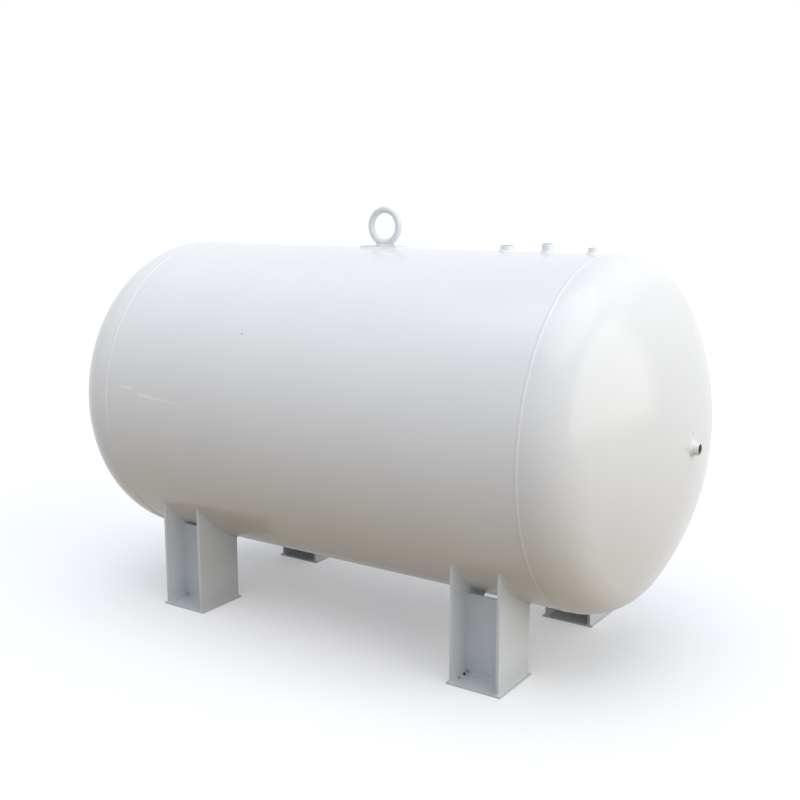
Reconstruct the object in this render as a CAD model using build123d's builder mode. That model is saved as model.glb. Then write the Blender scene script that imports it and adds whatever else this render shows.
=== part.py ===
# Horizontal pressure tank on four welded legs.
# The frame stands on the floor: X runs along the tank, Z is up, and -Y is the side that faces the viewer.
# The origin is under the middle of the whole length, the socket on the right end included.
from build123d import *
from math import atan2, cos, degrees, radians, sin, sqrt
import os

os.makedirs("parts", exist_ok=True)

# Driving dimensions in millimetres
shell_diameter = 1200
wall = 8
seam_spacing = 1750
straight_flange = 25
axis_height = 800

# Proportions of a deep dished end, taken on its inner face
crown_ratio = 0.8
knuckle_ratio = 0.154

# Butt welds: a V groove on a root land, filled and capped; the long one is on the far side, over the horizontal
root_land = 2
groove_width = 4
cap_height = 2
cap_overlap = 2
long_seam_angle = 30

# Legs: two side plates across the tank, a web between them and a base plate; the webs of the left legs reach higher
leg_spacing = 1304
leg_width = 185
leg_depth = 210
leg_offset = 355
side_plate = 10
web_plate = 8
web_tops = {"left": 305, "right": 287}
web_snipe = 15
base_plate = 6
base_side_margin = 10
base_end_margin = 5

# Lifting eye
pad_length = 170
pad_width = 90
pad_thickness = 8
pad_corner = 15
ring_bar = 25
ring_mean_diameter = 120
ring_flat = 3

# Pipe sockets on the shell: outside diameter, bore, height, place along the tank from its middle, and 1 where
# it stands on the top line or -1 where it hangs from the bottom line
shell_sockets = {
    "top_socket_large": (48, 38.9, 20, 512, 1),
    "top_socket_middle": (40, 30.3, 30, 666, 1),
    "top_socket_small": (32, 24.1, 20, 830, 1),
    "drain_socket": (40, 30.3, 20, 0, -1),
}
socket_reach = 4
socket_chamfer = 1.5

# Pipe socket on the right end, a little to the near side of the pole
end_socket_diameter = 40
end_socket_bore = 30.3
end_socket_height = 22
end_socket_offset = -30

# Fillet welds round the sockets: leg length, and how deep the triangle is drawn before the plate is cut from it
fillet_leg = 7
fillet_root = 2

shell_radius = shell_diameter / 2
crown_radius = crown_ratio * shell_diameter + wall
knuckle_radius = knuckle_ratio * shell_diameter + wall
knuckle_centre = shell_radius - knuckle_radius
crown_setback = sqrt((crown_radius - knuckle_radius) ** 2 - knuckle_centre**2)
knuckle_end = degrees(atan2(knuckle_centre, crown_setback))
head_depth = straight_flange + crown_radius - crown_setback

# The end socket makes the whole longer on the right, so the tank stands a little to the left.
tank_middle = -end_socket_height / 2
seam_offset = seam_spacing / 2


def save(part, name):
    part.label = name
    export_step(part, f"parts/{name}.step")


def line_plane(along, way):
    """A level plane on the shell's top line (way 1) or bottom line (way -1), facing away from the tank."""
    return Plane((tank_middle + along, 0, axis_height + way * shell_radius), x_dir=(1, 0, 0), z_dir=(0, 0, way))


def seam_plane(side):
    """A plane through the tank's axis at a seam: X points out of the tank and Y away from the axis."""
    return Plane((tank_middle + side * seam_offset, 0, axis_height), x_dir=(side, 0, 0), z_dir=(0, -side, 0))


# Across the start of the long seam: X along the shell's curve, Y away from the axis and Z along the tank
seam_out = Vector(0, cos(radians(long_seam_angle)), sin(radians(long_seam_angle)))
long_seam_plane = Plane(
    Vector(tank_middle - seam_offset, 0, axis_height) + seam_out * (shell_radius - wall),
    x_dir=(0, seam_out.Z, -seam_out.Y),
    z_dir=(1, 0, 0),
)


def tank_axis(side):
    return Axis((tank_middle + side * seam_offset, 0, axis_height), (side, 0, 0))


def dished_line(inset):
    """Half of the head's outline, moved in from its outer face: straight flange, knuckle and crown."""
    rim = Line((0, shell_radius - inset), (straight_flange, shell_radius - inset))
    CenterArc((straight_flange, knuckle_centre), knuckle_radius - inset, 90, knuckle_end - 90)
    setback = straight_flange - crown_setback
    crown = CenterArc((setback, 0), crown_radius - inset, knuckle_end, -knuckle_end)
    return rim @ 0, crown @ 1


# Shell: one rolled course, bevelled at both ends and along its long seam, with a hole for each socket
with BuildPart() as shell:
    with BuildSketch(seam_plane(1)):
        with BuildLine():
            Polyline(
                (0, shell_radius - wall),
                (0, shell_radius - wall + root_land),
                (-groove_width, shell_radius),
                (-seam_spacing + groove_width, shell_radius),
                (-seam_spacing, shell_radius - wall + root_land),
                (-seam_spacing, shell_radius - wall),
                close=True,
            )
        make_face()
    revolve(axis=tank_axis(1))
    with BuildSketch(long_seam_plane):
        with BuildLine():
            slope = groove_width / (wall - root_land)
            Polyline(
                (0, root_land),
                (slope * wall, root_land + wall),
                (-slope * wall, root_land + wall),
                close=True,
            )
        make_face()
    extrude(amount=seam_spacing, mode=Mode.SUBTRACT)
    for diameter, bore, height, along, way in shell_sockets.values():
        with BuildSketch(line_plane(along, way).offset(-2 * wall)):
            Circle(diameter / 2)
        extrude(amount=3 * wall, mode=Mode.SUBTRACT)
save(shell.part, "shell")

# Heads: dished plates of the shell's own thickness, bevelled at the rim, the right one with a socket hole
for side, name in ((-1, "left_head"), (1, "right_head")):
    with BuildPart() as head:
        with BuildSketch(seam_plane(side)):
            with BuildLine():
                outer_rim, outer_pole = dished_line(0)
                inner_rim, inner_pole = dished_line(wall)
                Line(outer_rim, inner_rim)
                Line(outer_pole, inner_pole)
            make_face()
            with BuildLine():
                Polyline(
                    (0, shell_radius - wall + root_land),
                    (groove_width, shell_radius),
                    (0, shell_radius),
                    close=True,
                )
            make_face(mode=Mode.SUBTRACT)
        revolve(axis=tank_axis(side))
        if side == 1:
            with BuildSketch(Plane.YZ.offset(tank_middle + seam_offset)):
                with Locations((end_socket_offset, axis_height)):
                    Circle(end_socket_diameter / 2)
            extrude(amount=2 * head_depth, mode=Mode.SUBTRACT)
    save(head.part, name)

# Girth welds: the filled groove with a rounded cap over it
cap_reach = groove_width + cap_overlap
girth_welds = []
for side, name in ((-1, "left_girth_weld"), (1, "right_girth_weld")):
    with BuildPart() as girth_weld:
        with BuildSketch(seam_plane(side)):
            with BuildLine():
                Polyline(
                    (-cap_reach, shell_radius),
                    (-groove_width, shell_radius),
                    (0, shell_radius - wall + root_land),
                    (groove_width, shell_radius),
                    (cap_reach, shell_radius),
                )
                ThreePointArc(
                    (cap_reach, shell_radius),
                    (0, shell_radius + cap_height),
                    (-cap_reach, shell_radius),
                )
            make_face()
        revolve(axis=tank_axis(side))
    girth_welds.append(girth_weld.part)
    save(girth_weld.part, name)

# Long weld: the shell's own seam, filled and capped likewise, its cap ending against those of the girth welds
with BuildPart() as long_weld:
    with BuildSketch(long_seam_plane):
        with BuildLine():
            Polyline((0, root_land), (groove_width, wall), (-groove_width, wall), close=True)
        make_face()
    extrude(amount=seam_spacing)
    with BuildSketch(long_seam_plane.offset(cap_reach)):
        with BuildLine():
            toe_height = wall - cap_height / 4
            cap_line = ThreePointArc((-cap_reach, toe_height), (0, wall + cap_height), (cap_reach, toe_height))
            Line(cap_line @ 1, cap_line @ 0)
        make_face()
    extrude(amount=seam_spacing - 2 * cap_reach)
    for neighbour in (shell.part, *girth_welds):
        add(neighbour, mode=Mode.SUBTRACT)
save(long_weld.part, "long_weld")

# Legs: the side plates are cut to the shell's curve, the web stops short of it with a flat top
for along, end_name in ((-1, "left"), (1, "right")):
    for across, row_name in ((-1, "near"), (1, "far")):
        leg_name = f"{row_name}_{end_name}_leg"
        leg_x = along * leg_spacing / 2
        leg_y = across * leg_offset
        for face, face_name in ((-1, "left"), (1, "right")):
            with BuildPart() as plate:
                with BuildSketch(Plane.YZ.offset(leg_x + face * (leg_width - side_plate) / 2)):
                    with Locations((leg_y, base_plate)):
                        Rectangle(leg_depth, axis_height - base_plate, align=(Align.CENTER, Align.MIN))
                    with Locations((0, axis_height)):
                        Circle(shell_radius, mode=Mode.SUBTRACT)
                extrude(amount=side_plate / 2, both=True)
            save(plate.part, f"{leg_name}_{face_name}_plate")
        with BuildPart() as web:
            with BuildSketch(Plane.XZ.offset(-leg_y)) as web_outline:
                with Locations((leg_x, base_plate)):
                    Rectangle(
                        leg_width - 2 * side_plate,
                        web_tops[end_name] - base_plate,
                        align=(Align.CENTER, Align.MIN),
                    )
                chamfer(web_outline.vertices().group_by(Axis.Y)[0], length=web_snipe)
            extrude(amount=web_plate / 2, both=True)
        save(web.part, f"{leg_name}_web")
        with BuildPart() as foot:
            with BuildSketch():
                with Locations((leg_x, leg_y)):
                    Rectangle(leg_width + 2 * base_side_margin, leg_depth + 2 * base_end_margin)
            extrude(amount=base_plate)
        save(foot.part, f"{leg_name}_base")

# Lifting pad: a plate rolled to the shell's curve
with BuildPart() as lifting_pad:
    with BuildSketch(Plane.YZ.offset(tank_middle)):
        with Locations((0, axis_height)):
            Circle(shell_radius + pad_thickness)
            Circle(shell_radius, mode=Mode.SUBTRACT)
    extrude(amount=pad_length / 2, both=True)
    with BuildSketch(Plane((tank_middle, 0, axis_height))):
        RectangleRounded(pad_length, pad_width, pad_corner)
    extrude(amount=shell_diameter, mode=Mode.INTERSECT)
save(lifting_pad.part, "lifting_pad")

# Lifting ring: round bar bent to a ring, its foot ground to sit on the pad
ring_height = shell_radius + pad_thickness - ring_flat + (ring_mean_diameter + ring_bar) / 2
with BuildPart() as lifting_ring:
    with BuildSketch(Plane.XY.offset(axis_height + ring_height)):
        with Locations((tank_middle + ring_mean_diameter / 2, 0)):
            Circle(ring_bar / 2)
    revolve(axis=Axis((tank_middle, 0, axis_height + ring_height), (0, 1, 0)))
    with BuildSketch(Plane.YZ.offset(tank_middle)):
        with Locations((0, axis_height)):
            Circle(shell_radius + pad_thickness)
    extrude(amount=ring_mean_diameter, both=True, mode=Mode.SUBTRACT)
save(lifting_ring.part, "lifting_ring")


def socket(name, plane, diameter, bore, height, seat):
    """A pipe socket let through the wall, with broken edges, and its fillet weld, cut to the surface of seat."""
    with BuildPart() as body:
        with BuildSketch(plane.offset(-wall - socket_reach)):
            Circle(diameter / 2)
            Circle(bore / 2, mode=Mode.SUBTRACT)
        extrude(amount=wall + socket_reach + height)
        mouth = body.faces().sort_by(Axis(plane.origin, plane.z_dir))[-1]
        chamfer(mouth.edges(), length=socket_chamfer)
    save(body.part, name)
    with BuildPart() as weld:
        with BuildSketch(Plane(plane.origin, x_dir=plane.x_dir, z_dir=-plane.y_dir)):
            with BuildLine():
                Polyline(
                    (diameter / 2 + fillet_leg + fillet_root, -fillet_root),
                    (diameter / 2, -fillet_root),
                    (diameter / 2, fillet_leg),
                    close=True,
                )
            make_face()
        revolve(axis=Axis(plane.origin, plane.z_dir))
        add(seat, mode=Mode.SUBTRACT)
    save(weld.part, f"{name}_weld")


for name, (diameter, bore, height, along, way) in shell_sockets.items():
    socket(name, line_plane(along, way), diameter, bore, height, shell.part)

# The end socket's weld is seated on the head's crown, which is part of a ball.
end_pole = tank_middle + seam_offset + head_depth
with BuildPart() as crown_ball:
    with Locations((end_pole - crown_radius, 0, axis_height)):
        Sphere(crown_radius)
end_plane = Plane((end_pole, end_socket_offset, axis_height), x_dir=(0, 1, 0), z_dir=(1, 0, 0))
socket("end_socket", end_plane, end_socket_diameter, end_socket_bore, end_socket_height, crown_ball.part)
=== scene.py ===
# %% [markdown]
# # A horizontal pressure tank in gloss white
# A rolled steel shell is closed by two dished heads and stands on four legs of welded plate, with a
# lifting ring and a row of pipe sockets on its top line. A measured model of all that comes ready
# made, and it fixes every size and place. This notebook adds what a measured model doesn't hold:
# paint, the ripples of the weld beads, threads, the edges that a grinder leaves, and light. The
# model is loaded first, because each later piece is worked out from it.

# %% Load the measured model
import math
import random

import bmesh
import bpy
import numpy as np
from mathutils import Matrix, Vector


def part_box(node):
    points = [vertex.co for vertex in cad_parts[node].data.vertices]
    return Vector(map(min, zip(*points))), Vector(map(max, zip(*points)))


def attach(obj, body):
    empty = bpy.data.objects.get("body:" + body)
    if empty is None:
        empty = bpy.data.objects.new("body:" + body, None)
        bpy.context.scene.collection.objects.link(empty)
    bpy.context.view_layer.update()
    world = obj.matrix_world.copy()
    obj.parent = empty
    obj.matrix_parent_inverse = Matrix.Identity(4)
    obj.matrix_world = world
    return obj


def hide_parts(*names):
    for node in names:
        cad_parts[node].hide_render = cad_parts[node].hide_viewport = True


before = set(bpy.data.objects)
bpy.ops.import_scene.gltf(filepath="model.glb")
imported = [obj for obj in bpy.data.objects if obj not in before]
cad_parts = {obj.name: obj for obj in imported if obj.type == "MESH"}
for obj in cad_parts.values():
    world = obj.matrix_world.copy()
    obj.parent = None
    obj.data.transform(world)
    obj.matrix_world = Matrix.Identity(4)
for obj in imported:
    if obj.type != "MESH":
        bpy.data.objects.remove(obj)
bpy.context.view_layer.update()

BODY = "root"
MM = 0.001

# %% [markdown]
# ## Where the picture is taken from
# The camera's place, direction and lens were solved from the tank's own outline and seams. The lens
# stands at the eye height of someone on the same floor, looks a little down, and sees the near side
# and the right head. A lens of about 49 mm on a full-size sensor gives the mild perspective of a
# photograph taken from a few steps away.

# %% Camera
CAMERA_PLACE = Vector((2.3077, -3.3582, 1.5943))
CAMERA_TURN = 33.848
CAMERA_DIP = 10.677
LENS_MM = 49.17
SENSOR_MM = 36.0

camera_data = bpy.data.cameras.new("camera")
camera_data.sensor_width = SENSOR_MM
camera_data.lens = LENS_MM
camera = bpy.data.objects.new("camera", camera_data)
camera.location = CAMERA_PLACE
camera.rotation_euler = (math.radians(90 - CAMERA_DIP), 0, math.radians(CAMERA_TURN))
bpy.context.scene.collection.objects.link(camera)
bpy.context.scene.camera = camera
print("camera height in metres:", CAMERA_PLACE.z)

# %% [markdown]
# ## Three helpers for materials
# Colours are written as the hex values that a paint card or a picture editor gives. Blender mixes
# light in linear values, so one function turns the first into the second. A second one adds a node
# with its settings, links what is a socket and sets what is a plain value: every material below is
# a list of such calls. A third makes the empty material that such a list fills.

# %% Colour and node helpers
def linear(hex_colour):
    """An sRGB hex colour as Blender's linear red, green, blue and alpha."""
    parts = [int(hex_colour[i : i + 2], 16) / 255 for i in (1, 3, 5)]
    return [p / 12.92 if p <= 0.04045 else ((p + 0.055) / 1.055) ** 2.4 for p in parts] + [1.0]


def add_node(tree, kind, inputs=None, **settings):
    """Adds a node. Inputs go by name or number: a node or socket is linked, anything else is set."""
    made = tree.nodes.new(kind)
    for name, value in settings.items():
        setattr(made, name, value)
    for name, value in (inputs or {}).items():
        if isinstance(value, bpy.types.Node):
            value = value.outputs[0]
        if isinstance(value, bpy.types.NodeSocket):
            tree.links.new(value, made.inputs[name])
        else:
            made.inputs[name].default_value = value
    return made


def new_material(name):
    """An empty node material and its tree."""
    material = bpy.data.materials.new(name)
    material.use_nodes = True
    material.node_tree.nodes.clear()
    return material, material.node_tree


print("half grey in linear values:", [round(v, 3) for v in linear("#808080")])

# %% [markdown]
# ## Floor and light
# The tank is shown as in a catalogue, on a plain white ground with only its own soft shadow. A lit
# white sheet would also throw its light up under the tank, and the belly of a tank that stands in a
# yard is dark and a little warm. So the floor is warm grey concrete to the soft light that bounces
# from it, and pale to the camera and in mirrored views, so that gloss shows the same studio as the
# camera does. The sky is split in the same way. The light is a plain even sky with two broad suns,
# one high above and one low from the right. Suns reach the whole floor evenly, so no lamp's edge
# shows, and their wide discs give soft shadows. Their strengths are such that the top of the tank
# just stays under white.

# %% Rays that see the studio
def seen_directly(tree):
    """1 for rays that show a thing itself, straight or mirrored, and 0 for soft bounced light."""
    rays = add_node(tree, "ShaderNodeLightPath").outputs
    shown = rays["Is Camera Ray"]
    for more in ("Is Glossy Ray", "Is Transmission Ray"):
        shown = add_node(tree, "ShaderNodeMath", {0: shown, 1: rays[more]}, operation="MAXIMUM")
    return shown


print("rays that see the studio: camera, glossy and transmission")

# %% Floor
FLOOR_SIDE = 400.0
FLOOR_GLOW = 0.3
CONCRETE = "#8E7853"
STUDIO_WHITE = "#FFFFFF"


def studio_floor():
    """Concrete to bounced light, and else a white that glows a little, so that the shadow stays pale."""
    material, tree = new_material("pale_studio_floor")
    concrete = add_node(tree, "ShaderNodeBsdfDiffuse", {"Color": linear(CONCRETE)})
    white = add_node(tree, "ShaderNodeBsdfDiffuse", {"Color": linear(STUDIO_WHITE)})
    glow = add_node(tree, "ShaderNodeEmission", {"Color": linear(STUDIO_WHITE), "Strength": 1.0})
    seen = add_node(tree, "ShaderNodeMixShader", {0: FLOOR_GLOW, 1: white, 2: glow})
    both = add_node(tree, "ShaderNodeMixShader", {0: seen_directly(tree), 1: concrete, 2: seen})
    add_node(tree, "ShaderNodeOutputMaterial", {"Surface": both})
    return material


half = FLOOR_SIDE / 2
floor_mesh = bpy.data.meshes.new("floor")
corners = [(-half, -half, 0), (half, -half, 0), (half, half, 0), (-half, half, 0)]
floor_mesh.from_pydata(corners, [], [(0, 1, 2, 3)])
floor_mesh.materials.append(studio_floor())
floor = bpy.data.objects.new("floor", floor_mesh)
bpy.context.scene.collection.objects.link(floor)
print("floor side in metres:", FLOOR_SIDE)

# %% Sky and suns
SKY_LIGHT = 0.73
SKY_TINT = "#DEEAFF"
# turn from the near side, height over the floor and width of the disc, all in degrees
SUNS = {
    "sun_above": dict(strength=1.13, colour="#FFF9F0", turn=0, height=80, width=60),
    "sun_right": dict(strength=1.85, colour="#FFFCF4", turn=90, height=12, width=75),
}

world = bpy.data.worlds.new("studio")
bpy.context.scene.world = world
world.use_nodes = True
tree = world.node_tree
tree.nodes.clear()
sky = add_node(tree, "ShaderNodeBackground", {"Color": linear(SKY_TINT), "Strength": SKY_LIGHT})
backdrop = add_node(tree, "ShaderNodeBackground", {"Color": linear(STUDIO_WHITE), "Strength": 1.0})
shown = add_node(tree, "ShaderNodeMixShader", {0: seen_directly(tree), 1: sky, 2: backdrop})
add_node(tree, "ShaderNodeOutputWorld", {"Surface": shown})

for name, sun in SUNS.items():
    data = bpy.data.lights.new(name, "SUN")
    data.energy = sun["strength"]
    data.color = linear(sun["colour"])[:3]
    data.angle = math.radians(sun["width"])
    lamp = bpy.data.objects.new(name, data)
    turn, height = math.radians(sun["turn"]), math.radians(sun["height"])
    level = math.cos(height)
    towards = Vector((math.sin(turn) * level, -math.cos(turn) * level, math.sin(height)))
    lamp.rotation_euler = towards.to_track_quat("Z", "Y").to_euler()
    bpy.context.scene.collection.objects.link(lamp)
    print(name, "shines from", [round(v, 2) for v in towards])

bpy.context.scene.view_settings.view_transform = "Standard"
print("view transform:", bpy.context.scene.view_settings.view_transform)

# %% [markdown]
# ## White enamel
# The tank is blasted plate with a sprayed two-pack polyurethane enamel: white, hard and fairly
# glossy. Up close such a coat has orange peel, a skin of low bumps a few millimetres across left by
# the spray. The rolled plate under it isn't quite true either, so reflections waver over hand-wide
# distances. Dust settles where a face looks up, and rain splashes dirt against the feet. All of it
# is done with noise in the object's own coordinates, which are metres in the tank's frame, because
# spray and rolling know nothing of edges or seams. The orange peel is drawn about twice as coarse
# as the real one, or it would vanish between the picture's pixels.

# %% Sizes of what shows in the coat
ORANGE_PEEL_MM = 6.0
ORANGE_PEEL_DEPTH_MM = 0.02
PLATE_WAVE_MM = 260.0
PLATE_WAVE_DEPTH_MM = 0.35
TONE_PATCH_MM = 300.0
SHEEN_PATCH_MM = 400.0


def scale_for(size_mm):
    """The noise scale that makes bumps about size_mm across."""
    return 1.0 / (size_mm * MM)


print("noise scale of the orange peel:", round(scale_for(ORANGE_PEEL_MM)))

# %% [markdown]
# ## What lies on the coat, and painted highlights
# Dust lies only where a face looks up, in faint drifts. Splashes are thickest at the floor and gone
# at a hand's height. A chip or graze is a ragged round spot at one place, worked out as the
# distance from a point with some noise added to it. A streak is the distance from a line, and it
# fades towards its end; the streaks are painted highlights, lines lighter than the enamel that
# stand in for reflected light. Each of these takes the tone so far and gives back the tone with one
# more thing on it.

# %% Dust and splashes
DUST = "#B9B3A6"
DUST_DRIFT_MM = 25.0
DUST_SLOPE = 0.8
SPLASHED_DIRT = "#6E655A"
SPLASH_MM = 12.0
SPLASH_HEIGHT = 0.12


def with_dust(tree, place, tone, amount):
    """The tone with pale dust on it where the face looks up."""
    upward = add_node(tree, "ShaderNodeNewGeometry").outputs["Normal"]
    upward = add_node(tree, "ShaderNodeSeparateXYZ", {0: upward}).outputs["Z"]
    lying = {"Value": upward, "From Min": DUST_SLOPE, "From Max": 1.0, "To Min": 0.0, "To Max": amount}
    lying = add_node(tree, "ShaderNodeMapRange", lying, interpolation_type="SMOOTHSTEP")
    drifts = {"Vector": place, "Scale": scale_for(DUST_DRIFT_MM), "Detail": 6.0}
    drifts = add_node(tree, "ShaderNodeTexNoise", drifts)
    cover = add_node(tree, "ShaderNodeMath", {0: lying, 1: drifts}, operation="MULTIPLY")
    dusty = {0: cover, 6: tone, 7: linear(DUST)}
    return add_node(tree, "ShaderNodeMix", dusty, data_type="RGBA").outputs[2]


def with_splashes(tree, place, tone, amount):
    """The tone with dirt on it that rain has splashed up from the floor."""
    height = add_node(tree, "ShaderNodeSeparateXYZ", {0: place}).outputs["Z"]
    reach = {"Value": height, "From Min": 0.0, "From Max": SPLASH_HEIGHT, "To Min": amount, "To Max": 0.0}
    reach = add_node(tree, "ShaderNodeMapRange", reach, interpolation_type="SMOOTHSTEP")
    drops = {"Vector": place, "Scale": scale_for(SPLASH_MM), "Detail": 6.0, "Roughness": 0.7}
    drops = add_node(tree, "ShaderNodeTexNoise", drops)
    cover = add_node(tree, "ShaderNodeMath", {0: reach, 1: drops}, operation="MULTIPLY")
    dirty = {0: cover, 6: tone, 7: linear(SPLASHED_DIRT)}
    return add_node(tree, "ShaderNodeMix", dirty, data_type="RGBA").outputs[2]


print("dust lies on slopes up to", round(math.degrees(math.acos(DUST_SLOPE))), "degrees")
print("splashes reach", SPLASH_HEIGHT, "metres up")

# %% Chips
RAGGED_MM = 2.0


def with_chip(tree, place, tone, centre, radius_mm, colour):
    """The tone with a ragged round spot of another colour at centre."""
    away = add_node(tree, "ShaderNodeVectorMath", {0: place, 1: tuple(centre)}, operation="DISTANCE")
    rough = {"Vector": place, "Scale": scale_for(3 * RAGGED_MM), "Detail": 3.0}
    rough = add_node(tree, "ShaderNodeTexNoise", rough)
    edge = {0: rough, 1: 2 * RAGGED_MM * MM, 2: away.outputs["Value"]}
    edge = add_node(tree, "ShaderNodeMath", edge, operation="MULTIPLY_ADD")
    inside = {"Value": edge, "From Min": radius_mm * MM, "From Max": (radius_mm + 2 * RAGGED_MM) * MM}
    inside |= {"To Min": 1.0, "To Max": 0.0}
    inside = add_node(tree, "ShaderNodeMapRange", inside, interpolation_type="SMOOTHSTEP")
    chipped = {0: inside, 6: tone, 7: linear(colour)}
    return add_node(tree, "ShaderNodeMix", chipped, data_type="RGBA").outputs[2]


print("a chip's edge wavers by about", RAGGED_MM, "mm")

# %% Painted highlight streaks
def with_painted_streak(tree, place, tone, start, end, width_mm, colour):
    """The tone with a line of another colour from start to end, which fades towards its end."""
    along = end - start
    from_start = add_node(tree, "ShaderNodeVectorMath", {0: place, 1: tuple(start)}, operation="SUBTRACT")
    share = {0: from_start, 1: tuple(along / along.length_squared)}
    share = add_node(tree, "ShaderNodeVectorMath", share, operation="DOT_PRODUCT").outputs["Value"]
    share = add_node(tree, "ShaderNodeClamp", {"Value": share})
    nearest = add_node(tree, "ShaderNodeVectorMath", {0: tuple(along), "Scale": share}, operation="SCALE")
    off = {0: from_start, 1: nearest}
    off = add_node(tree, "ShaderNodeVectorMath", off, operation="DISTANCE").outputs["Value"]
    close = {"Value": off, "From Min": 0.0, "From Max": width_mm * MM, "To Min": 1.0, "To Max": 0.0}
    close = add_node(tree, "ShaderNodeMapRange", close, interpolation_type="SMOOTHSTEP")
    left = add_node(tree, "ShaderNodeMath", {0: 1.0, 1: share}, operation="SUBTRACT")
    cover = add_node(tree, "ShaderNodeMath", {0: close, 1: left}, operation="MULTIPLY")
    scraped = {0: cover, 6: tone, 7: linear(colour)}
    return add_node(tree, "ShaderNodeMix", scraped, data_type="RGBA").outputs[2]


# a streak here is a painted highlight
print("what can lie on a coat: dust, splashes, chips and scratches")

# %% [markdown]
# ## The enamel itself
# The coat's own tone drifts by a few percent, its gloss by a little more, and its skin is two bumps
# laid over each other: the waver of the plate and the orange peel of the spray. The bumps start
# from the mesh's shading normal. Round the pole of each head the measured mesh has one slanted
# normal, which would show as a bright smudge, so there the normal is taken straight away from the
# middle of the crown's ball.

# %% True normals round the poles
POLE_PATCH_MM = 36.5
POLE_FADE_MM = 2.0


def round_pole(tree, place, normal, centre, pole):
    """The shading normal, made to point straight away from a crown's centre round its pole."""
    outward = add_node(tree, "ShaderNodeVectorMath", {0: place, 1: tuple(centre)}, operation="SUBTRACT")
    straight = add_node(tree, "ShaderNodeVectorMath", {0: outward}, operation="NORMALIZE")
    away = {0: place, 1: tuple(pole)}
    away = add_node(tree, "ShaderNodeVectorMath", away, operation="DISTANCE").outputs["Value"]
    near = {"Value": away, "From Min": POLE_PATCH_MM * MM, "From Max": (POLE_PATCH_MM + POLE_FADE_MM) * MM}
    near |= {"To Min": 1.0, "To Max": 0.0}
    near = add_node(tree, "ShaderNodeMapRange", near, interpolation_type="SMOOTHSTEP")
    turned = {0: near, 4: normal, 5: straight}
    return add_node(tree, "ShaderNodeMix", turned, data_type="VECTOR").outputs[1]


print("width of the patch round each pole in mm:", 2 * POLE_PATCH_MM)

# %% Tone, skin and sheen of the coat
DARKEST = 0.975
TONE_SPREAD = (0.25, 0.75)
SHEEN_SPREAD = (0.2, 0.8)
SMOOTHER, ROUGHER = 0.03, 0.05


def drifting_tone(tree, place, colour):
    """The coat's colour, a few percent darker in slow patches."""
    darker = [DARKEST * v for v in linear(colour)[:3]] + [1.0]
    patches = add_node(tree, "ShaderNodeTexNoise", {"Vector": place, "Scale": scale_for(TONE_PATCH_MM)})
    patches = {"Value": patches, "From Min": TONE_SPREAD[0], "From Max": TONE_SPREAD[1]}
    patches = add_node(tree, "ShaderNodeMapRange", patches, interpolation_type="SMOOTHSTEP")
    tone = {0: patches, 6: linear(colour), 7: darker}
    return add_node(tree, "ShaderNodeMix", tone, data_type="RGBA").outputs[2]


def uneven_skin(tree, place, normal, peel):
    """The shading normal, with the plate's waver and then an orange peel of peel mm in it."""
    wave = {"Vector": place, "Scale": scale_for(PLATE_WAVE_MM), "Detail": 1.0}
    wave = add_node(tree, "ShaderNodeTexNoise", wave)
    wavy = {"Height": wave, "Distance": PLATE_WAVE_DEPTH_MM * MM, "Strength": 1.0, "Normal": normal}
    wavy = add_node(tree, "ShaderNodeBump", wavy)
    grain = {"Vector": place, "Scale": scale_for(ORANGE_PEEL_MM), "Detail": 1.0}
    grain = add_node(tree, "ShaderNodeTexNoise", grain)
    skin = {"Height": grain, "Distance": peel * MM, "Strength": 1.0, "Normal": wavy}
    return add_node(tree, "ShaderNodeBump", skin)


def drifting_sheen(tree, place, roughness):
    """The coat's roughness, a little lower in some patches and higher in others."""
    sheen = {"Vector": place, "Scale": scale_for(SHEEN_PATCH_MM), "Detail": 1.0}
    sheen = add_node(tree, "ShaderNodeTexNoise", sheen)
    sheen = {"Value": sheen, "From Min": SHEEN_SPREAD[0], "From Max": SHEEN_SPREAD[1]}
    sheen |= {"To Min": roughness - SMOOTHER, "To Max": roughness + ROUGHER}
    return add_node(tree, "ShaderNodeMapRange", sheen, interpolation_type="SMOOTHSTEP")


print("darkest patches in percent of the tone:", 100 * DARKEST)

# %% White enamel
ENAMEL_IOR = 1.5


def enamel(
    name, colour, roughness, dust, splashes=0.0, chips=(), painted_streaks=(), poles=(), peel=ORANGE_PEEL_DEPTH_MM
):
    """White enamel. Dust and splashes are how far they show, chips are (centre, radius in mm, hex colour),
    painted highlight streaks are (start, end, width in mm, hex colour), poles are (crown's centre,
    pole), and peel is the orange peel's depth in mm."""
    material, tree = new_material(name)
    place = add_node(tree, "ShaderNodeTexCoord").outputs["Object"]
    tone = with_dust(tree, place, drifting_tone(tree, place, colour), dust)
    if splashes:
        tone = with_splashes(tree, place, tone, splashes)
    for chip in chips:
        tone = with_chip(tree, place, tone, *chip)
    for painted_streak in painted_streaks:
        tone = with_painted_streak(tree, place, tone, *painted_streak)
    normal = add_node(tree, "ShaderNodeNewGeometry").outputs["Normal"]
    for pole in poles:
        normal = round_pole(tree, place, normal, *pole)
    skin = uneven_skin(tree, place, normal, peel)
    sheen = drifting_sheen(tree, place, roughness)
    coat = {"Base Color": tone, "Roughness": sheen, "IOR": ENAMEL_IOR, "Normal": skin}
    coat = add_node(tree, "ShaderNodeBsdfPrincipled", coat)
    add_node(tree, "ShaderNodeOutputMaterial", {"Surface": coat})
    print(name, "made of", len(tree.nodes), "nodes")
    return material


print("enamel's refractive index:", ENAMEL_IOR)
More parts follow.
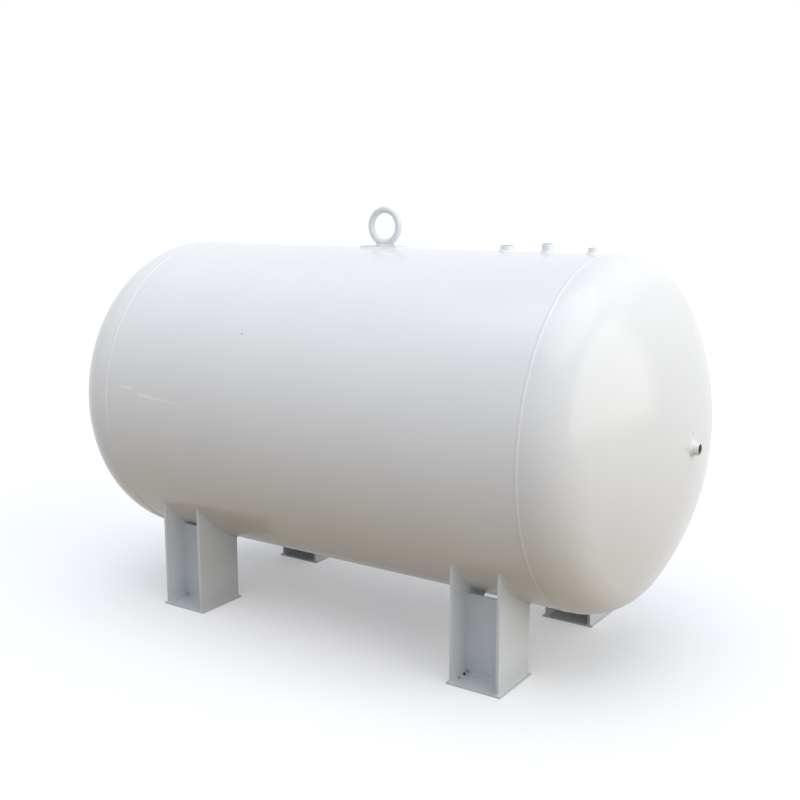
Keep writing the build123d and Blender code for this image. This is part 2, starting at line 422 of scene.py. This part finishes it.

# %% [markdown]
# ## Which enamel goes where
# One spray gun painted the whole tank, but the coat differs. On the big smooth plates it flowed
# out. On the legs it is thinner and flatter, cooler where the primer shows through, and the floor
# has splashed dirt on it. On welds and sockets it is thick and soft. The marks that the tank has
# got are here too, each at its own place: a graze on the near side of the shell, a scuff over the
# end socket, and three dark spots on a foot. Two white lines on the near side of the shell, a long
# one and a short one, are painted highlights: they stand in for light reflected in the enamel.

# %% Where the marks are
shell_low, shell_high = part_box("shell")
SHELL_RADIUS = (shell_high.z - shell_low.z) / 2
AXIS_HEIGHT = (shell_high.z + shell_low.z) / 2
CROWN_RADIUS = 0.968
left_tip, right_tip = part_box("left_head")[0].x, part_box("right_head")[1].x


def on_shell(along, angle, lift=0.0):
    """A point over the shell's outer face; angle 0 is the near side's middle height and 90 the top line."""
    a, r = math.radians(angle), SHELL_RADIUS + lift
    return Vector((along, -r * math.cos(a), AXIS_HEIGHT + r * math.sin(a)))


# a chip is (centre, radius in mm, colour), and a painted highlight streak is (start, end, width in mm,
# colour)
graze = (on_shell(-0.268, 31.6), 3.0, "#A2A5A8")
scuff = (Vector((right_tip - 0.002, -0.030, AXIS_HEIGHT + 0.048)), 3.0, "#A9A9A4")
# two painted highlights: white lines that stand in for light reflected in the shell's enamel
painted_streak = (on_shell(-0.708, 6.3), on_shell(-0.444, 4.4), 7.5, "#FFFFFF")
short_painted_streak = (on_shell(-0.752, 8.1), on_shell(-0.840, 8.5), 6.0, "#FFFFFF")
left_pole = (Vector((left_tip + CROWN_RADIUS, 0, AXIS_HEIGHT)), Vector((left_tip, 0, AXIS_HEIGHT)))
right_pole = (Vector((right_tip - CROWN_RADIUS, 0, AXIS_HEIGHT)), Vector((right_tip, 0, AXIS_HEIGHT)))
foot_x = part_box("near_right_leg_left_plate")[1].x
foot_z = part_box("near_right_leg_base")[1].z + MM
# three dark spots on the near right leg's base plate, by the inner face of its left plate
foot_dark_spots = [
    (Vector((foot_x, -0.381, foot_z)), 7.5, "#2E2822"),
    (Vector((foot_x, -0.415, foot_z)), 5.0, "#5A4E42"),
    (Vector((foot_x, -0.357, foot_z)), 3.5, "#4A4036"),
]
print("shell radius in metres:", round(SHELL_RADIUS, 3), " axis height:", round(AXIS_HEIGHT, 3))

# %% The five enamels
TANK_WHITE = "#ECEDEC"
WELD_PEEL_MM = 0.01

# the shell's enamel also carries the two painted highlight streaks
tank_enamel = enamel(
    "sprayed_white_polyurethane_enamel", TANK_WHITE, roughness=0.20, dust=0.16,
    chips=[graze, scuff], painted_streaks=[painted_streak, short_painted_streak], poles=[left_pole, right_pole],
)
leg_enamel = enamel(
    "thin_white_enamel_on_plate", "#DDE1E3", roughness=0.38, dust=0.08,
    splashes=0.35, chips=foot_dark_spots,
)
leg_weld_enamel = enamel(
    "thin_white_enamel_over_weld", "#D9DDDF", roughness=0.36, dust=0.08,
    splashes=0.35, chips=foot_dark_spots, peel=WELD_PEEL_MM,
)
fitting_enamel = enamel("thick_white_enamel_on_fittings", "#E6E8E8", roughness=0.26, dust=0.15)
weld_enamel = enamel(
    "white_enamel_over_weld", TANK_WHITE, roughness=0.24, dust=0.12, peel=WELD_PEEL_MM,
)

# %% Paint the measured nodes
FINISHES = {"tank_paint": tank_enamel, "fitting_paint": fitting_enamel, "leg_paint": leg_enamel}
for node_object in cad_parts.values():
    for slot in node_object.material_slots:
        slot.material = FINISHES[slot.material.name]
print("nodes painted:", len(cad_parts))

# %% [markdown]
# ## Edges of the plates
# A plate that leaves the grinder has no knife edge: its corners are broken by about a millimetre,
# and paint rounds them further. That narrow bevel catches the light, and without it the legs look
# like paper. The measured plates have sharp edges, so each gets Blender's Bevel modifier, limited
# by angle so that the long curved cut under the shell stays as it is.

# %% Break the edges of the plates
EDGE_BREAK_MM = 1.2
EDGE_ANGLE = 40
EDGE_SEGMENTS = 2

plates = [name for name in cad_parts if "_leg_" in name] + ["lifting_pad"]
for name in plates:
    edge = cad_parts[name].modifiers.new("edge_break", "BEVEL")
    edge.width = EDGE_BREAK_MM * MM
    edge.segments = EDGE_SEGMENTS
    edge.limit_method = "ANGLE"
    edge.angle_limit = math.radians(EDGE_ANGLE)
print("plates with broken edges:", len(plates))

# %% [markdown]
# ## Weld beads
# Every joint of the tank is welded, and a bead is never smooth: the arc is fed drop by drop, so
# each drop freezes as a low crescent against the one before, and hand and heat make the width
# wander. A bump pattern could only shade that. Here it is geometry: a helper takes the corner line
# that the weld runs along, with two directions across it, and sweeps a section whose height rises
# and falls with the crescents. A butt weld lies flat over its groove, so its two directions are
# across the seam and away from the tank. A fillet weld sits in a corner, so its directions run out
# along the two plates.

# %% Even rows with a slow wobble
STEP_MM = 1.25
FEWEST_ROWS = 8
SWING = 0.08
WOBBLES_MM = (500, 215, 115, 50)


def wander(lengths, total, seed):
    """A slow wobble around 1 along a path, the same at both ends so that a closed weld meets itself."""
    chance = random.Random(seed)
    wobble = np.ones_like(lengths)
    for wave_mm in WOBBLES_MM:
        repeats = max(1, round(total / (wave_mm * MM)))
        swing, start = SWING * chance.uniform(-0.5, 0.5), chance.uniform(0, 2 * math.pi)
        wobble += swing * np.sin(2 * math.pi * repeats * lengths / total + start)
    return wobble


def even_rows(rows, closed):
    """Rows of (corner, first, second) made even: three arrays, each row's length along, and the whole."""
    rows = np.array([[tuple(v) for v in row] for row in rows], float)
    if closed:
        rows = np.concatenate([rows, rows[:1]])
    middle = rows[:, 0] + 0.5 * rows[:, 1] + 0.5 * rows[:, 2]
    lengths = np.concatenate([[0], np.cumsum(np.linalg.norm(np.diff(middle, axis=0), axis=1))])
    count = max(FEWEST_ROWS, round(lengths[-1] / (STEP_MM * MM)))
    even = np.linspace(0, lengths[-1], count, endpoint=not closed)
    made = [np.stack([np.interp(even, lengths, rows[:, i, k]) for k in range(3)], axis=1) for i in range(3)]
    return *made, even, lengths[-1]


sample = [(Vector((0, y, 0)), Vector((0.005, 0, 0)), Vector((0, 0, 0.005))) for y in (0.0, 0.1)]
print("rows in a weld of 100 mm:", len(even_rows(sample, closed=False)[3]))

# %% The bead
RIPPLE_MM = 5.0
RIPPLE_SHARE = 0.16
RIPPLE_RISE = 2.5
CRESCENT = 0.55
POINTS_ACROSS = 9
BUTT_CROWN, BUTT_TOE = 0.94, 0.02
FILLET_CROWN = 0.35
ROOT_MM = 0.6


def bead(rows, butt=False, closed=True, seed=1):
    """A weld's vertices and faces, closed all round. The directions in rows carry the weld's size:
    for a butt weld its half width and height, for a fillet its two legs."""
    corner, first, second, lengths, total = even_rows(rows, closed)
    across = np.linspace(0, 1, POINTS_ACROSS)[None, :]
    arch = 4 * across * (1 - across)
    ripples = max(1, round(total / (RIPPLE_MM * MM)))
    phase = ripples * lengths[:, None] / total - CRESCENT * arch
    low = 1 - RIPPLE_SHARE * (phase % 1.0) ** 2 * np.minimum(1, RIPPLE_RISE * arch)
    wide = wander(lengths, total, seed)[:, None]
    one, two = (v / np.linalg.norm(v, axis=1)[:, None] * ROOT_MM * MM for v in (first, second))
    if butt:
        out, up = (1 - 2 * across) * wide, (BUTT_CROWN * arch + BUTT_TOE) * low
        root = [corner - first - two, corner + first - two]
    else:
        swell = (1 + FILLET_CROWN * arch) * low * wide
        out, up = (1 - across) * swell, across * swell
        root = [corner + second - one, corner - one - two, corner + first - two]
    face = corner[:, None] + first[:, None] * out[..., None] + second[:, None] * up[..., None]
    section = np.concatenate([face, np.stack(root, axis=1)], axis=1)
    count, columns = section.shape[:2]
    faces = []
    for i in range(count if closed else count - 1):
        here, there = i * columns, (i + 1) % count * columns
        for j in range(columns):
            k = (j + 1) % columns
            faces.append((here + j, here + k, there + k, there + j))
    if not closed:
        faces.append(tuple(reversed(range(columns))))
        faces.append(tuple(range((count - 1) * columns, count * columns)))
    return section.reshape(-1, 3), faces


print("faces in a fillet of 100 mm:", len(bead(sample, closed=False)[1]))

# %% From lists to an object
SMOOTH_BELOW = 50


def piece(name, parts, material, replaced=()):
    """An object from vertices and faces, with its finish, hung on the body, hiding the nodes it replaces."""
    vertices, faces = [], []
    for part_vertices, part_faces in parts:
        start = len(vertices)
        vertices.extend(map(tuple, part_vertices))
        faces.extend(tuple(i + start for i in face) for face in part_faces)
    mesh = bpy.data.meshes.new(name)
    mesh.from_pydata(vertices, [], faces)
    work = bmesh.new()
    work.from_mesh(mesh)
    bmesh.ops.recalc_face_normals(work, faces=work.faces)
    work.to_mesh(mesh)
    work.free()
    mesh.polygons.foreach_set("use_smooth", [True] * len(mesh.polygons))
    mesh.set_sharp_from_angle(angle=math.radians(SMOOTH_BELOW))
    mesh.materials.append(material)
    made = bpy.data.objects.new(name, mesh)
    bpy.context.scene.collection.objects.link(made)
    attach(made, BODY)
    if replaced:
        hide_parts(*replaced)
    print(name, "triangles:", sum(len(face) - 2 for face in faces))
    return made


print("edges are drawn sharp from", SMOOTH_BELOW, "degrees")

# %% [markdown]
# ## The seams of the shell
# Two girth welds join the heads to the shell, and a long weld closes the rolled plate on the far
# side. They are butt welds: the plates meet edge to edge with a groove between them, and the bead
# fills it and stands a little proud. They take the place of the plain caps in the measured model,
# at nearly the same width and height.

# %% Girth welds
BEAD_HALF_MM = 5.9
BEAD_HEIGHT_MM = 1.9
GIRTH_STEP = 2


def shell_out(angle):
    """The direction straight out of the shell at an angle."""
    return on_shell(0, angle, 1.0) - on_shell(0, angle)


def girth_weld(name, seed):
    """The bead round the shell at the middle of a girth weld's node."""
    low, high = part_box(name)
    seam, height = (low.x + high.x) / 2, BEAD_HEIGHT_MM * MM
    half_width = Vector((BEAD_HALF_MM * MM, 0, 0))
    rows = [(on_shell(seam, a), half_width, shell_out(a) * height) for a in range(0, 360, GIRTH_STEP)]
    piece(name + "_bead", [bead(rows, butt=True, seed=seed)], weld_enamel, [name])


girth_weld("left_girth_weld", 11)
girth_weld("right_girth_weld", 12)

# %% Long weld
LONG_SEAM_ANGLE = 150
LONG_SEAM_STOPS = 40

low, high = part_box("long_weld")
turn = math.radians(LONG_SEAM_ANGLE)
across = Vector((0, math.sin(turn), math.cos(turn))) * BEAD_HALF_MM * MM
out = shell_out(LONG_SEAM_ANGLE) * BEAD_HEIGHT_MM * MM
stops = np.linspace(low.x + BEAD_HALF_MM * MM, high.x - BEAD_HALF_MM * MM, LONG_SEAM_STOPS)
rows = [(on_shell(x, LONG_SEAM_ANGLE), across, out) for x in stops]
long_bead = bead(rows, butt=True, closed=False, seed=13)
piece("long_weld_bead", [long_bead], weld_enamel, ["long_weld"])

# %% [markdown]
# ## Leg welds
# A leg is four plates. Each side plate is welded to the shell all round its curved end and to the
# base plate all round its foot, and the web is welded to both side plates and to the base. A weld
# that goes round a plate's end turns with it, so its loop is built from straight sides, with the
# directions swung round at each corner. Where the side plate's near end meets the shell, the corner
# is wide open, and where its inner end does, it is sharp: the directions come from the shell's own
# curve, so that the bead follows both.

# %% Loops that turn round a plate's end
DOWN = Vector((0, 0, -1))
TURN_SHARES = (0.2, 0.4, 0.6, 0.8)


def joined(*sides):
    """The sides of a loop in one list, with the directions swung round in small steps at each corner."""
    rows = []
    for side, following in zip(sides, sides[1:] + sides[:1]):
        rows.extend(side)
        (corner, first, second), (_, next_first, next_second) = side[-1], following[0]
        for share in TURN_SHARES:
            turned = first.lerp(next_first, share).normalized() * first.length
            rows.append((corner, turned, second.lerp(next_second, share)))
    return rows


def under_shell(x, y):
    """The shell's lower face at y: the point, the way out of it, and the way along it to the far side."""
    drop = math.sqrt(SHELL_RADIUS**2 - y**2)
    out, along = Vector((0, y, -drop)) / SHELL_RADIUS, Vector((0, drop, y)) / SHELL_RADIUS
    return Vector((x, y, AXIS_HEIGHT - drop)), out, along


print("lowest point of the shell in metres:", round(under_shell(0, 0)[0].z, 3))

# %% Rows round a side plate
SHELL_FILLET_MM = 5.0
SHELL_STOPS = 24
FOOT_FILLET_MM = 3.5


def plate_to_shell(name):
    """Rows round the curved end of a side plate."""
    low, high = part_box(name)
    leg = SHELL_FILLET_MM * MM
    sides = []
    for x, way, stops in ((low.x, -1, (low.y, high.y)), (high.x, 1, (high.y, low.y))):
        face = []
        for y in np.linspace(*stops, SHELL_STOPS):
            point, out, _ = under_shell(x, y)
            face.append((point, Vector((way * leg, 0, 0)), out * leg))
        _, _, along = under_shell(x, stops[1])
        outward = along * leg * (1 if stops[1] == high.y else -1)
        ends = (low.x, high.x) if way < 0 else (high.x, low.x)
        sides += [face, [(under_shell(end, stops[1])[0], outward, DOWN * leg) for end in ends]]
    return joined(*sides)


def plate_to_base(name):
    """Rows round the foot of a side plate."""
    low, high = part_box(name)
    up = -DOWN * FOOT_FILLET_MM * MM
    walk = [(low.x, low.y), (low.x, high.y), (high.x, high.y), (high.x, low.y)]
    ways = [(-1, 0), (0, 1), (1, 0), (0, -1)]
    sides = []
    for (x, y), (to_x, to_y), way in zip(walk, walk[1:] + walk[:1], ways):
        out = Vector((*way, 0)) * FOOT_FILLET_MM * MM
        sides.append([(Vector((x, y, low.z)), out, up), (Vector((to_x, to_y, low.z)), out, up)])
    return joined(*sides)


print("rows round a side plate's curved end:", len(plate_to_shell("near_left_leg_left_plate")))

# %% Rows along a web
WEB_FILLET_MM = 4.0
WEB_SNIPE_MM = 15.0


def web_welds(name):
    """Four upright welds and two along the base, as open lists of rows."""
    low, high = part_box(name)
    leg, snipe = WEB_FILLET_MM * MM, WEB_SNIPE_MM * MM
    lines = []
    for y, way_y in ((low.y, -1), (high.y, 1)):
        on_web = Vector((0, way_y, 0)) * leg
        for x, way_x in ((low.x, 1), (high.x, -1)):
            inward = Vector((way_x, 0, 0)) * leg
            lines.append([(Vector((x, y, z)), inward, on_web) for z in (low.z + snipe, high.z - leg / 2)])
        lines.append([(Vector((x, y, low.z)), on_web, -DOWN * leg) for x in (low.x + snipe, high.x - snipe)])
    return lines


print("welds on a web:", len(web_welds("near_left_leg_web")))

# %% Weld the four legs
for number, leg in enumerate(("near_left_leg", "near_right_leg", "far_left_leg", "far_right_leg")):
    seed = 100 * (number + 1)
    parts = []
    for plate in (f"{leg}_left_plate", f"{leg}_right_plate"):
        seed += 2
        parts += [bead(plate_to_shell(plate), seed=seed), bead(plate_to_base(plate), seed=seed + 1)]
    for line in web_welds(f"{leg}_web"):
        seed += 2
        parts.append(bead(line, closed=False, seed=seed))
    piece(f"{leg}_welds", parts, leg_weld_enamel)

# %% [markdown]
# ## Lifting eye welds
# The pad is a plate rolled to the shell's curve and welded all round. The ring stands on it on a
# short flat that was ground on the bar, and its weld is heavy, since the whole tank hangs on it: a
# thick fillet that climbs the bar's sides and fills the wedge under it at both ends of the flat.

# %% Sizes of the pad and the ring
pad_low, pad_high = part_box("lifting_pad")
ring_low, ring_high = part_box("lifting_ring")
PAD_RADIUS = pad_high.z - AXIS_HEIGHT
ring_x = (ring_low.x + ring_high.x) / 2
bar_radius = (ring_high.y - ring_low.y) / 2
mean_radius = (ring_high.x - ring_low.x) / 2 - bar_radius
ring_centre = ring_high.z - mean_radius - bar_radius


def roof(radius, x, y):
    """The point over (x, y) on a cylinder about the tank's axis."""
    return Vector((x, y, AXIS_HEIGHT + math.sqrt(radius**2 - y**2)))


print("ring bar in mm:", round(2 * bar_radius / MM, 1), " its mean radius:", round(mean_radius / MM, 1))

# %% Rows round the pad
PAD_FILLET_MM = 5.0
PAD_CORNER_MM = 15.0
PAD_STEP_MM = 5.0
PAD_CORNER_STEP = 15


def pad_rows():
    """Rows round the pad, in even steps along its sides and round its corners."""
    r = PAD_CORNER_MM * MM
    outline = []
    quarters = [(pad_high.x - r, pad_high.y - r, 0), (pad_low.x + r, pad_high.y - r, 90)]
    quarters += [(pad_low.x + r, pad_low.y + r, 180), (pad_high.x - r, pad_low.y + r, 270)]
    for x, y, start in quarters:
        for degrees in range(start, start + 91, PAD_CORNER_STEP):
            a = math.radians(degrees)
            outline.append((x + r * math.cos(a), y + r * math.sin(a), math.cos(a), math.sin(a)))
    rows = []
    for here, there in zip(outline, outline[1:] + outline[:1]):
        steps = max(1, round(math.dist(here[:2], there[:2]) / (PAD_STEP_MM * MM)))
        for step in range(steps):
            x, y, out_x, out_y = (a + (b - a) * step / steps for a, b in zip(here, there))
            corner = roof(SHELL_RADIUS, x, y)
            toe = roof(SHELL_RADIUS, x + out_x * PAD_FILLET_MM * MM, y + out_y * PAD_FILLET_MM * MM)
            rows.append((corner, toe - corner, -DOWN * PAD_FILLET_MM * MM))
    return rows


print("rows round the pad:", len(pad_rows()))

# %% Rows round the ring's foot
RING_WELD_RISE_MM = 5.0
RING_TOE_MM = (38.0, 15.5)
RING_STEP = 5


def bar_outline(height, angle):
    """Where the bar crosses a level plane: x and y from the ring's middle, at an angle round its foot."""
    fall = ring_centre - height
    reach = math.sqrt((mean_radius + bar_radius) ** 2 - fall**2)
    x = reach * math.cos(angle)
    inside = bar_radius**2 - (math.hypot(x, fall) - mean_radius) ** 2
    return x, math.copysign(math.sqrt(max(0.0, inside)), math.sin(angle))


def ring_rows():
    """Rows round the ring's foot, from its outline on the pad out over the pad and up along the bar."""
    rows = []
    for degrees in range(0, 360, RING_STEP):
        a = math.radians(degrees)
        foot_x, foot_y = bar_outline(pad_high.z, a)
        high_x, high_y = bar_outline(pad_high.z + RING_WELD_RISE_MM * MM, a)
        toe_x, toe_y = RING_TOE_MM[0] * MM * math.cos(a), RING_TOE_MM[1] * MM * math.sin(a)
        corner = roof(PAD_RADIUS, ring_x + foot_x, foot_y)
        top = Vector((ring_x + high_x, high_y, pad_high.z + RING_WELD_RISE_MM * MM))
        rows.append((corner, roof(PAD_RADIUS, ring_x + toe_x, toe_y) - corner, top - corner))
    return rows


print("rows round the ring's foot:", len(ring_rows()))

# %% Weld the lifting eye
piece("lifting_pad_weld", [bead(pad_rows(), seed=21)], weld_enamel)
piece("lifting_ring_weld", [bead(ring_rows(), seed=22)], weld_enamel)

# %% [markdown]
# ## Socket welds
# Each socket goes through the wall and has a fillet weld round it, outside. On the round shell the
# weld rides up and down as it goes round, and on the right head it sits on the crown, which is part
# of a large ball. The beads take the place of the plain fillets in the measured model.

# %% Rows round a socket
SOCKET_FILLET_MM = 6.5
SOCKET_STEPS = 48


def shell_seat(way):
    """A function that drops a point onto the shell's top (way 1) or bottom (way -1) line."""
    return lambda x, y: Vector((x, y, AXIS_HEIGHT + way * math.sqrt(SHELL_RADIUS**2 - y**2)))


def crown_seat(y, z):
    """The point of the right head's crown at y and z."""
    fall = CROWN_RADIUS - math.sqrt(CROWN_RADIUS**2 - y**2 - (z - AXIS_HEIGHT) ** 2)
    return Vector((right_tip - fall, y, z))


def socket_rows(seat, across, radius, up):
    """Rows round a socket whose middle is at across on the seat."""
    rows = []
    for step in range(SOCKET_STEPS):
        a = 2 * math.pi * step / SOCKET_STEPS
        u, v = math.cos(a), math.sin(a)
        corner = seat(across[0] + radius * u, across[1] + radius * v)
        reach = radius + SOCKET_FILLET_MM * MM
        toe = seat(across[0] + reach * u, across[1] + reach * v)
        rows.append((corner, toe - corner, up * SOCKET_FILLET_MM * MM))
    return rows


print("the right head's tip:", [round(v, 3) for v in crown_seat(0, AXIS_HEIGHT)])

# %% Weld the sockets
UPRIGHT_SOCKETS = ("top_socket_large", "top_socket_middle", "top_socket_small", "drain_socket")
for number, name in enumerate(UPRIGHT_SOCKETS):
    low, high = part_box(name)
    way = -1 if name == "drain_socket" else 1
    middle = ((low.x + high.x) / 2, (low.y + high.y) / 2)
    rows = socket_rows(shell_seat(way), middle, (high.x - low.x) / 2, -DOWN * way)
    piece(f"{name}_weld_bead", [bead(rows, seed=31 + number)], weld_enamel, [f"{name}_weld"])

low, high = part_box("end_socket")
middle = ((low.y + high.y) / 2, (low.z + high.z) / 2)
rows = socket_rows(crown_seat, middle, (high.y - low.y) / 2, Vector((1, 0, 0)))
piece("end_socket_weld_bead", [bead(rows, seed=35)], weld_enamel, ["end_socket_weld"])

# %% [markdown]
# ## Threaded sockets
# The sockets are turned from bar and tapped with a pipe thread before they are welded in. The
# measured model has a plain bore at the thread's inner diameter. Here the bore gets its real
# thread: a groove that winds round as it goes in, eleven turns to the inch in the bigger sizes and
# fourteen in the small one, its depth 0.64 of the pitch. The painters plugged the bores, so the
# paint stops at the mouth, and the thread is bare steel gone dull and brown.

# %% Bare thread steel
RUST_BLOOM_MM = 6.0
RUST_PIT_MM = 1.2
RUST_PIT_DEPTH_MM = 0.03
TURNED_STEEL, RUST = "#8F8B86", "#5E432F"
RUST_SPREAD = (0.42, 0.68)
# from bare steel to full rust
METALLIC = (1.0, 0.15)
STEEL_ROUGHNESS = (0.35, 0.8)


def bare_steel():
    """Turned steel that has stood in the damp: grey metal with a thin brown bloom of rust."""
    material, tree = new_material("bare_tapped_steel_with_light_rust")
    place = add_node(tree, "ShaderNodeTexCoord").outputs["Object"]
    bloom = {"Vector": place, "Scale": scale_for(RUST_BLOOM_MM), "Detail": 5.0, "Roughness": 0.65}
    bloom = add_node(tree, "ShaderNodeTexNoise", bloom)
    bloom = {"Value": bloom, "From Min": RUST_SPREAD[0], "From Max": RUST_SPREAD[1]}
    bloom = add_node(tree, "ShaderNodeMapRange", bloom, interpolation_type="SMOOTHSTEP")
    tone = {0: bloom, 6: linear(TURNED_STEEL), 7: linear(RUST)}
    tone = add_node(tree, "ShaderNodeMix", tone, data_type="RGBA").outputs[2]
    metallic = {"Value": bloom, "To Min": METALLIC[0], "To Max": METALLIC[1]}
    metallic = add_node(tree, "ShaderNodeMapRange", metallic)
    roughness = {"Value": bloom, "To Min": STEEL_ROUGHNESS[0], "To Max": STEEL_ROUGHNESS[1]}
    roughness = add_node(tree, "ShaderNodeMapRange", roughness)
    pits = {"Vector": place, "Scale": scale_for(RUST_PIT_MM), "Detail": 3.0}
    pits = add_node(tree, "ShaderNodeTexNoise", pits)
    pitted = {"Height": pits, "Distance": RUST_PIT_DEPTH_MM * MM, "Strength": 1.0}
    pitted = add_node(tree, "ShaderNodeBump", pitted)
    steel = {"Base Color": tone, "Metallic": metallic, "Roughness": roughness, "Normal": pitted}
    steel = add_node(tree, "ShaderNodeBsdfPrincipled", steel)
    add_node(tree, "ShaderNodeOutputMaterial", {"Surface": steel})
    return material


thread_steel = bare_steel()
print("thread material:", thread_steel.name)

# %% The thread groove
INCH_MM = 25.4
MOUTH_MM = 1.5
THREAD_DEPTH = 0.64
# the thread's inner radius in millimetres, and its turns to the inch
THREADS = {
    "top_socket_large": (19.45, 11),
    "top_socket_middle": (15.15, 11),
    "top_socket_small": (12.05, 14),
    "drain_socket": (15.15, 11),
    "end_socket": (15.15, 11),
}


def bore_radius(inner, pitch, height, share, depth):
    """The bore's radius at a height and a share of the way round. At a small depth the mouth flares."""
    groove = 0.5 - 0.5 * math.cos(2 * math.pi * (height / pitch - share))
    return max(inner + THREAD_DEPTH * pitch * groove, inner + MOUTH_MM * MM - depth)


print("thread pitches in mm:", sorted({round(INCH_MM / turns, 2) for _, turns in THREADS.values()}))

# %% Sockets with real threads
COLUMNS = 60
ROWS_A_TURN = 8


def threaded_socket(name, axis, way):
    """The socket's body turned about its axis: outside, mouth and a bore with a thread groove."""
    low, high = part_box(name)
    inner, turns = THREADS[name][0] * MM, THREADS[name][1]
    pitch = INCH_MM * MM / turns
    length = high[axis] - low[axis]
    side, other = [k for k in range(3) if k != axis]
    middle, radius, mouth = (low + high) / 2, (high[side] - low[side]) / 2, MOUTH_MM * MM
    count = round(length / pitch * ROWS_A_TURN)
    outside = [(radius, 0), (radius, length - mouth), (radius - mouth, length)]
    vertices, kinds = [], []
    for row in range(len(outside) + count + 1):
        bore = row >= len(outside)
        h = length * (1 - (row - len(outside)) / count) if bore else outside[row][1]
        kinds.append(bore)
        for column in range(COLUMNS):
            share = column / COLUMNS
            r = bore_radius(inner, pitch, h, share, length - h) if bore else outside[row][0]
            point = [0.0, 0.0, 0.0]
            point[axis] = low[axis] + h if way > 0 else high[axis] - h
            point[side] = middle[side] + r * math.cos(2 * math.pi * share)
            point[other] = middle[other] + r * math.sin(2 * math.pi * share)
            vertices.append(point)
    faces, steel = [], []
    for row in range(len(kinds)):
        following = (row + 1) % len(kinds)
        for column in range(COLUMNS):
            beside = (column + 1) % COLUMNS
            here, there = row * COLUMNS, following * COLUMNS
            faces.append((here + column, here + beside, there + beside, there + column))
            steel.append(kinds[row])
    made = piece(f"{name}_threaded", [(vertices, faces)], fitting_enamel, [name])
    made.data.materials.append(thread_steel)
    made.data.polygons.foreach_set("material_index", [int(s) for s in steel])


for name in THREADS:
    threaded_socket(name, 0 if name == "end_socket" else 2, -1 if name == "drain_socket" else 1)
